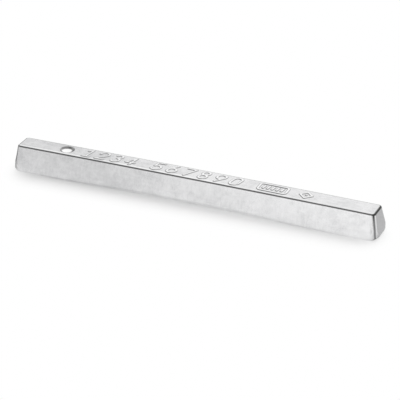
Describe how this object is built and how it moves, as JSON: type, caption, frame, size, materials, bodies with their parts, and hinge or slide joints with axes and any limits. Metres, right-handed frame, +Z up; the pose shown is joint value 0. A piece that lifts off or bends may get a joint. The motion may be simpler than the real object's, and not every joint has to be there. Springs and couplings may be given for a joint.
{
  "type": "tin ingot",
  "caption": "Long cast tin bar with leaning walls, rounded corners and foot, a round dish near one end and a row of low raised marks along its narrow upper face.",
  "frame": {"origin": "middle of the bar at the level of the resting face", "axes": "+X along the bar, away from the dish; +Y across the bar; +Z up, from the resting face to the marked face"},
  "size_m": [0.305, 0.0254, 0.0207],
  "materials": {
    "tin": "satin"
  },
  "bodies": {
    "root": {"ingot": "tin"}
  },
  "joints": []
}
